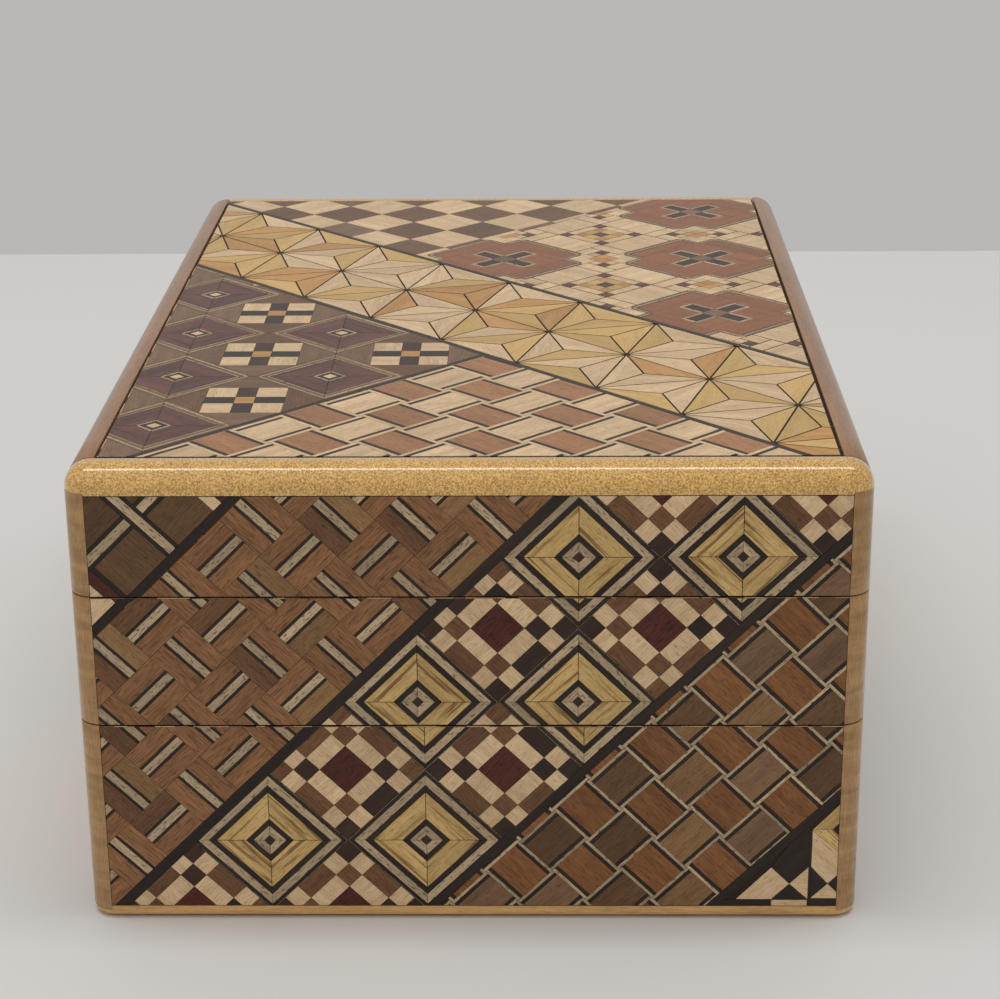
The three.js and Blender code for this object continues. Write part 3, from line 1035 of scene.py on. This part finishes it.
def grid_block(low, high):
    """A closed block whose faces are grids, moved to the rounded form of the box."""
    lines = [
        stations(low[0], high[0], HALF_WIDTH, (EDGE_RADIUS, FOOT_RADIUS)),
        stations(low[1], high[1], HALF_LENGTH, (EDGE_RADIUS, FOOT_RADIUS)),
        height_stations(low[2], high[2]),
    ]
    counts = [len(line) - 1 for line in lines]
    numbers, vertices, faces = {}, [], []

    def vertex(key):
        if key not in numbers:
            numbers[key] = len(vertices)
            place = rounded(*(lines[axis][key[axis]] for axis in range(3)))
            vertices.append([value * MM for value in place])
        return numbers[key]

    for axis in range(3):
        first, second = (axis + 1) % 3, (axis + 2) % 3
        for level, outward in ((0, False), (counts[axis], True)):
            for a in range(counts[first]):
                for b in range(counts[second]):
                    ring = []
                    for da, db in ((0, 0), (1, 0), (1, 1), (0, 1)):
                        key = [0, 0, 0]
                        key[axis], key[first], key[second] = level, a + da, b + db
                        ring.append(vertex(tuple(key)))
                    faces.append(ring if outward else ring[::-1])
    mesh = bpy.data.meshes.new("block")
    mesh.from_pydata(vertices, [], faces)
    mesh.validate()
    return mesh


def helper(name, mesh):
    """An object used only while the script runs."""
    thing = bpy.data.objects.new(name, mesh)
    bpy.context.scene.collection.objects.link(thing)
    return thing


def plain_block(low, high):
    corners = [(x, y, z) for x in (low[0], high[0]) for y in (low[1], high[1]) for z in (low[2], high[2])]
    faces = [(0, 1, 3, 2), (4, 6, 7, 5), (0, 4, 5, 1), (2, 3, 7, 6), (0, 2, 6, 4), (1, 5, 7, 3)]
    mesh = bpy.data.meshes.new("cutter")
    mesh.from_pydata([[value * MM for value in corner] for corner in corners], [], faces)
    return mesh


def dovetail_cutter(axis, start, reach, middle, limits):
    """A dovetail groove's cutter: narrow at its mouth and wide at its floor, drawn out along X or Y."""
    mouth, floor = 2.3, 3.3
    overshoot = math.copysign(0.5, reach)
    narrow = mouth - (floor - mouth) / abs(reach) * abs(overshoot)
    outside, inside = start - overshoot, start + reach
    outline = [(outside, middle - narrow), (inside, middle - floor), (inside, middle + floor),
               (outside, middle + narrow)]
    vertices = []
    for along in limits:
        for depth, height in outline:
            vertices.append((along, depth, height) if axis == "X" else (depth, along, height))
    faces = [(0, 1, 2, 3), (7, 6, 5, 4)] + [(i, i + 4, (i + 1) % 4 + 4, (i + 1) % 4) for i in range(4)]
    mesh = bpy.data.meshes.new("cutter")
    mesh.from_pydata([[value * MM for value in vertex] for vertex in vertices], [], faces)
    mesh.update()
    turn_outward(mesh)
    return mesh


def turn_outward(mesh):
    """Turns every face of a closed mesh so that it looks outward."""
    work = bmesh.new()
    work.from_mesh(mesh)
    bmesh.ops.recalc_face_normals(work, faces=work.faces)
    work.to_mesh(mesh)
    work.free()


def board(name, node, body, woods, cutters, closing=(0, 0)):
    """A board in the rounded form of the box, its sharp edges eased, then cut for its sheet and grooves.

    woods holds the board's wood and, for an end board, the woods of its side trims and of its foot; the foot's
    wood is lighter, as painted light on the rounded foot.
    """
    low, high = box_mm(node)
    low[2] -= closing[0]
    high[2] += closing[1]
    mesh = grid_block(low, high)
    thing = helper(name + "_work", mesh)
    ease = thing.modifiers.new("ease", "BEVEL")
    ease.width = EASED_EDGE * MM
    ease.segments = 2
    ease.limit_method = "ANGLE"
    ease.angle_limit = math.radians(50)
    helpers = []
    for cutter in cutters:
        tool = helper(name + "_cutter", cutter)
        cut = thing.modifiers.new("cut", "BOOLEAN")
        cut.operation = "DIFFERENCE"
        cut.solver = "EXACT"
        cut.object = tool
        helpers.append(tool)
    bpy.context.view_layer.update()
    graph = bpy.context.evaluated_depsgraph_get()
    result = bpy.data.meshes.new_from_object(thing.evaluated_get(graph))
    result.name = name
    for used in [thing, *helpers]:
        bpy.data.objects.remove(used)
    result.materials.clear()
    for material in woods:
        result.materials.append(material)
    if len(woods) > 1:
        for face in result.polygons:
            x, _, z = (value / MM for value in face.center)
            # The foot band takes the lighter foot wood: painted light on the rounded foot.
            if z < LIT_FOOT_HEIGHT:
                face.material_index = 2
            elif abs(x) > TRIM_START and z < HEIGHT - EDGE_RADIUS:
                face.material_index = 1
    result.shade_smooth()
    result.set_sharp_from_angle(angle=math.radians(32))
    return new_piece(name, result, body, [node])


def near_boards(woods):
    """The three strips of the near end, each with a recess for its sheet and a groove for its batten."""
    strips = [
        ("near_lower", "lower_strip", 15.0, (0, CUT_CLOSING)),
        ("near_middle", "middle_strip", 41.0, (CUT_CLOSING, CUT_CLOSING)),
        ("near_top", "top_strip", 57.0, (CUT_CLOSING, 0)),
    ]
    for name, body, batten_height, closing in strips:
        low, high = box_mm(f"{name}_strip")
        sheet_low, sheet_high = box_mm(f"{name}_veneer")
        foot = low[2] - CUTTER_REACH if closing[0] else sheet_low[2] - RECESS_PLAY
        top = high[2] + CUTTER_REACH if closing[1] else sheet_high[2] + RECESS_PLAY
        recess = plain_block((sheet_low[0] - RECESS_PLAY, low[1] - CUTTER_REACH, foot),
                             (sheet_high[0] + RECESS_PLAY, low[1] + RECESS_DEPTH, top))
        groove = dovetail_cutter("X", high[1], -GROOVE_DEPTH, batten_height, (-45.3, 45.3))
        board(f"board_{name}", f"{name}_strip", body, woods, [recess, groove], closing)


def far_recess(low, high, foot, top):
    """A recess across the whole of a far board's outer face, between two heights."""
    return plain_block((low[0] - CUTTER_REACH, high[1] - RECESS_DEPTH, foot),
                       (high[0] + CUTTER_REACH, high[1] + CUTTER_REACH, top))


def far_boards(woods):
    """The far end board, and the strip above it that moves with the lid."""
    low, high = box_mm("far_end_board")
    recess = far_recess(low, high, RECESS_FOOT, high[2] + CUTTER_REACH)
    board("board_far_end", "far_end_board", "carcass", woods, [recess], (0, CUT_CLOSING))
    low, high = box_mm("lid_end_strip")
    recess = far_recess(low, high, low[2] - CUTTER_REACH, RECESS_TOP)
    board("board_lid_end", "lid_end_strip", "lid", woods[:1], [recess], (CUT_CLOSING, 0))


def side_boards(side_wood):
    """The two long panels, each with a recess for its sheet and two grooves on its inner face."""
    inner_face, far_margin = 48.7, 2.9
    for name, outward in (("left", -1), ("right", 1)):
        low, high = box_mm(f"{name}_panel")
        outer = outward * HALF_WIDTH
        span = sorted((outer - outward * RECESS_DEPTH, outer + outward * CUTTER_REACH))
        recess = plain_block((span[0], low[1] - CUTTER_REACH, RECESS_FOOT),
                             (span[1], HALF_LENGTH - far_margin, RECESS_TOP))
        cutters = [recess]
        for middle in (17.0, 48.0):
            start, reach = outward * inner_face, outward * GROOVE_DEPTH
            cutters.append(dovetail_cutter("Y", start, reach, middle, (-60.3, 55.3)))
        board(f"board_{name}", f"{name}_panel", f"{name}_side", [side_wood], cutters)


# ---- The plain inner pieces keep their CAD shapes ----

def dress_inner_nodes():
    """Pale wood for the carcass and darker wood for the sliding keys, with the grain along each piece."""
    pale = ((0.60, 0.43, 0.25), (0.47, 0.32, 0.18))
    dark = ((0.24, 0.11, 0.055), (0.14, 0.062, 0.03))
    inner_long, inner_cross = (
        wood(f"inner_wood_{name}", *pale, board_grain(along), pores=0.2, roughness=0.6, figure=0.6)
        for name, along in (("long", "Y"), ("cross", "X"))
    )
    key_long, key_cross = (
        wood(f"key_wood_{name}", *dark, board_grain(along), pores=0.4, roughness=0.5)
        for name, along in (("long", "Y"), ("cross", "X"))
    )
    materials = {
        "base_board": inner_long, "inner_floor": inner_long, "lid_board": inner_long,
        "inner_left_wall": inner_long, "inner_right_wall": inner_long,
        "inner_near_wall": inner_cross, "inner_far_wall": inner_cross,
    }
    for name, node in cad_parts.items():
        if name in materials:
            material = materials[name]
        elif name.endswith(("batten", "peg")) and name.startswith("near"):
            material = key_cross
        elif name.endswith(("batten", "peg", "runner")):
            material = key_long
        else:
            continue
        node.data.materials.clear()
        node.data.materials.append(material)


# ---- Floor, light and camera ----

def make_stage():
    """A pale table top that ends in a rounded edge a little way behind the box."""
    table_end, roll, drop, reach, steps = 0.2905, 0.004, 0.3, 3.0, 8
    profile = [(-reach, 0.0)]
    for step in range(steps + 1):
        angle = step * math.pi / 2 / steps
        profile.append((table_end - roll + roll * math.sin(angle), roll * math.cos(angle) - roll))
    profile.append((table_end, -drop))
    vertices = [(x, y, z) for y, z in profile for x in (-reach, reach)]
    faces = [(2 * i, 2 * i + 1, 2 * i + 3, 2 * i + 2) for i in range(len(profile) - 1)]
    mesh = bpy.data.meshes.new("table")
    mesh.from_pydata(vertices, [], faces)
    mesh.shade_smooth()
    graph = NodeGraph("stage_paper")
    place = graph.add("ShaderNodeTexCoord").outputs["Object"]
    cloud = graph.noise(graph.scaled(place, (6.0, 6.0, 6.0)), 3.0)
    graph.feed(graph.shader.inputs["Base Color"],
               graph.mix(cloud, linear(228, 227, 224), linear(233, 232, 230)))
    graph.feed(graph.shader.inputs["Roughness"], 0.6)
    mesh.materials.append(graph.material)
    table = bpy.data.objects.new("table", mesh)
    bpy.context.scene.collection.objects.link(table)
    table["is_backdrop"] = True


def add_area_light(name, place, size, power):
    """An area light that looks at the foot of the box. Its place and size are in metres."""
    data = bpy.data.lights.new(name, "AREA")
    data.shape = "RECTANGLE"
    data.size, data.size_y = size
    data.energy = power
    lamp = bpy.data.objects.new(name, data)
    lamp.location = place
    lamp.rotation_euler = (-Vector(place)).to_track_quat("-Z", "Y").to_euler()
    bpy.context.scene.collection.objects.link(lamp)


def make_light():
    """Even light from all round, a long light overhead for the rail's highlight, and a soft one in front."""
    world = bpy.data.worlds.new("room")
    world.use_nodes = True
    background = world.node_tree.nodes["Background"]
    background.inputs["Color"].default_value = (1.0, 0.985, 0.965, 1)
    background.inputs["Strength"].default_value = 0.485
    bpy.context.scene.world = world
    add_area_light("overhead", (0.0, -0.02, 1.15), (1.1, 0.2), 4.6)
    add_area_light("soft_left", (-0.6, -0.8, 1.1), (1.5, 1.2), 1.7)
    bpy.context.scene.view_settings.view_transform = "Standard"


def make_camera():
    """The camera in metres, and its turn from looking level along +Y."""
    data = bpy.data.cameras.new("camera")
    data.sensor_width = 36
    data.lens = 86.985
    data.clip_start = 0.01
    camera = bpy.data.objects.new("camera", data)
    camera.location = (0.00970, -0.36739, 0.16891)
    pitch, yaw, roll = math.radians(20.306), math.radians(1.087), math.radians(-0.492)
    level = Matrix(((1, 0, 0), (0, 0, -1), (0, 1, 0)))
    turn = Matrix(((math.cos(yaw), math.sin(yaw), 0), (-math.sin(yaw), math.cos(yaw), 0), (0, 0, 1)))
    tip = Matrix(((1, 0, 0), (0, math.cos(pitch), -math.sin(pitch)), (0, math.sin(pitch), math.cos(pitch))))
    lean = Matrix(((math.cos(roll), -math.sin(roll), 0), (math.sin(roll), math.cos(roll), 0), (0, 0, 1)))
    view = Matrix(((1, 0, 0), (0, -1, 0), (0, 0, -1))) @ lean @ tip @ level @ turn
    camera.rotation_euler = view.transposed().to_euler()
    bpy.context.scene.collection.objects.link(camera)
    bpy.context.scene.camera = camera


def make_end_woods():
    """The end boards: speckled end grain, plain long grain at the sides, and a foot painted brighter, as
    painted light on its rounding.
    """
    rail = wood("end_rail_wood", (1.0, 0.62, 0.20), (0.47, 0.235, 0.047), board_grain("Z"), figure=0.15,
                figure_size=(0.5, 0.8), pores=0.6, pore_size=(4.6, 4.6), fibre_size=(3.8, 3.8), roughness=0.2,
                tone=0.06, bump=0.6, coat=1.0)
    trim = wood("trim_wood", (0.52, 0.31, 0.135), (0.30, 0.165, 0.065), board_grain("Z"), figure=0.65,
                figure_size=(0.55, 0.12), pores=0.2, roughness=0.22, tone=0.08, coat=0.15)
    # A lighter copy of the trim wood, with its grain along X: painted light on the rounded foot.
    foot = wood("foot_wood_painted_light", (0.86, 0.52, 0.205), (0.50, 0.275, 0.10), board_grain("X"), figure=0.5,
                pores=0.2, roughness=0.22, tone=0.08, coat=0.15)
    return [rail, trim, foot]


def make_side_wood():
    return wood("side_rail_wood", (0.42, 0.23, 0.118), (0.275, 0.14, 0.068), board_grain("Y"), figure=0.5,
                pores=0.25, roughness=0.2, tone=0.1, bump=0.15, coat=0.1)


make_camera()
make_stage()
make_light()
tile_woods = make_tile_woods()
end_woods = make_end_woods()
near_boards(end_woods)
far_boards(end_woods)
side_boards(make_side_wood())
end_sheets(tile_woods)
side_sheets(tile_woods)
lid_sheet(tile_woods)
dress_inner_nodes()

boxes = {"cad": cad_box, "visual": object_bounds()}
{name: [list(corner) for corner in box] for name, box in boxes.items()}
